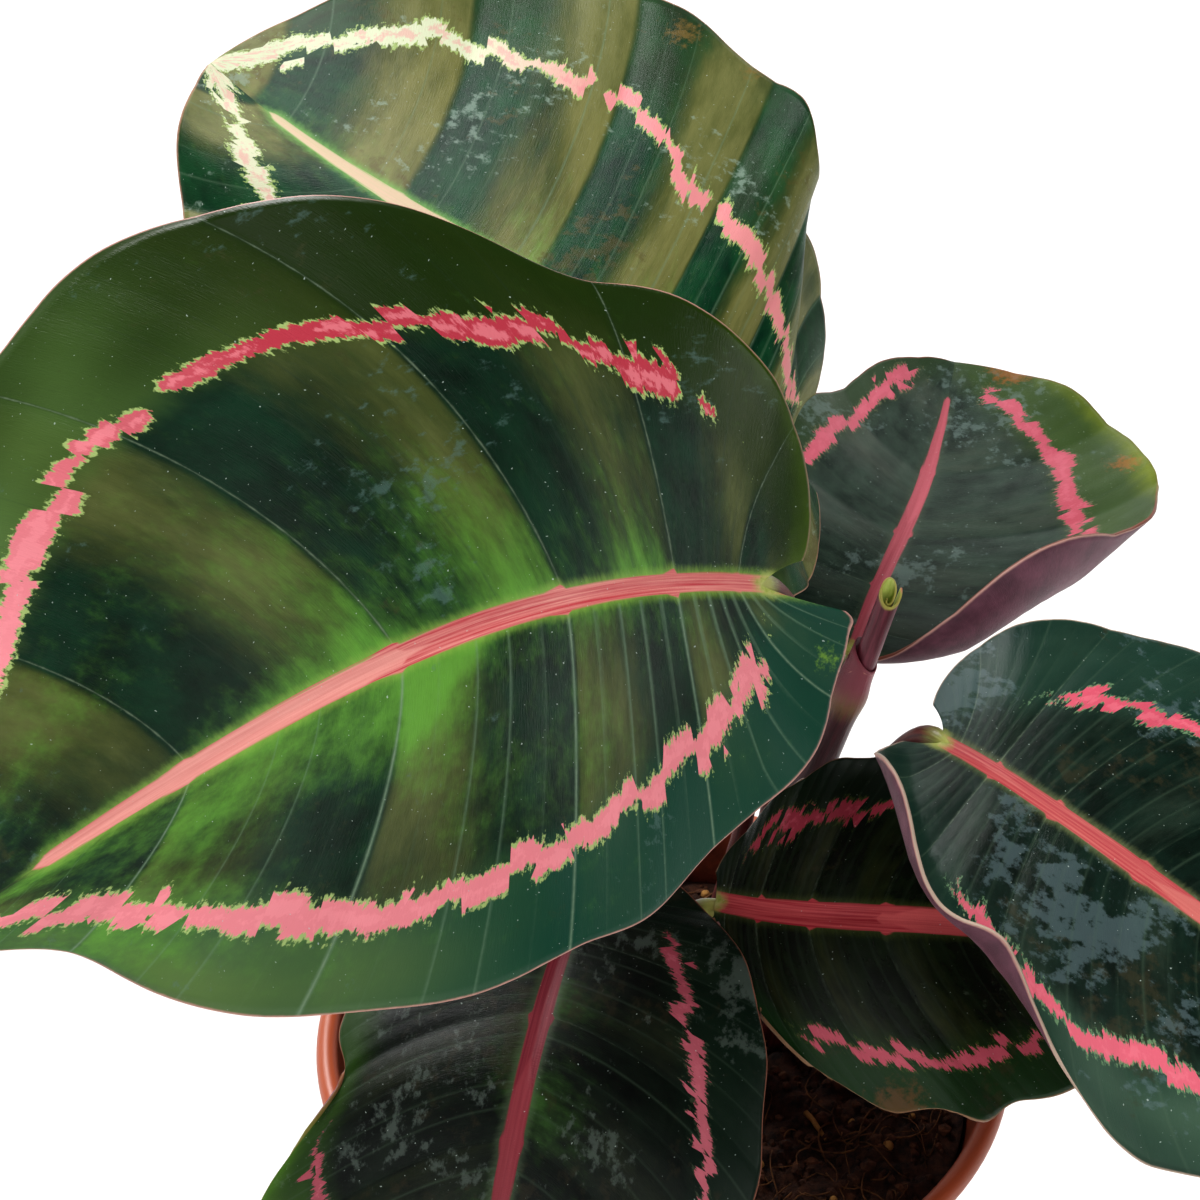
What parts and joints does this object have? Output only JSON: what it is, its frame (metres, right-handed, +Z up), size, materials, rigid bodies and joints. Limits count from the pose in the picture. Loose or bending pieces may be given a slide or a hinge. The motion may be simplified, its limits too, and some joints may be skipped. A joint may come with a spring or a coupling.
{
  "type": "potted calathea",
  "caption": "Small house plant with broad oval painted leaves on slender stalks and one leaf still rolled up, standing in potting mix in a round tapered nursery pot.",
  "frame": {"origin": "centre of the pot's base, on the plane that the pot stands on", "axes": "+Z up out of the pot; +Y away from the side that the picture looks at; +X to the right in the picture"},
  "size_m": [0.222, 0.1788, 0.2323],
  "materials": {
    "leaf_blade": "satin waxy leaf, near-black green with olive stripes, a pink ring and a pink midrib",
    "petiole": "satin maroon stalk with a yellow-green joint below the blade",
    "sheath": "satin dark maroon leaf sheath with a tan-pink edge line",
    "rolled_leaf": "satin maroon underside rolled outwards, yellow-green inside the tip",
    "pot_plastic": "terracotta-coloured moulded plastic",
    "potting_mix": "matte dark coir mix with loose fibres and a few pale grains"
  },
  "bodies": {
    "root": {"blade_1": "leaf_blade", "petiole_1": "petiole", "blade_2": "leaf_blade", "petiole_2": "petiole", "blade_3": "leaf_blade", "petiole_3": "petiole", "blade_4": "leaf_blade", "petiole_4": "petiole", "blade_5": "leaf_blade", "petiole_5": "petiole", "blade_6": "leaf_blade", "petiole_6": "petiole", "shoot_sheath": "sheath", "rolled_leaf": "rolled_leaf", "pot": "pot_plastic", "soil": "potting_mix"}
  },
  "joints": []
}
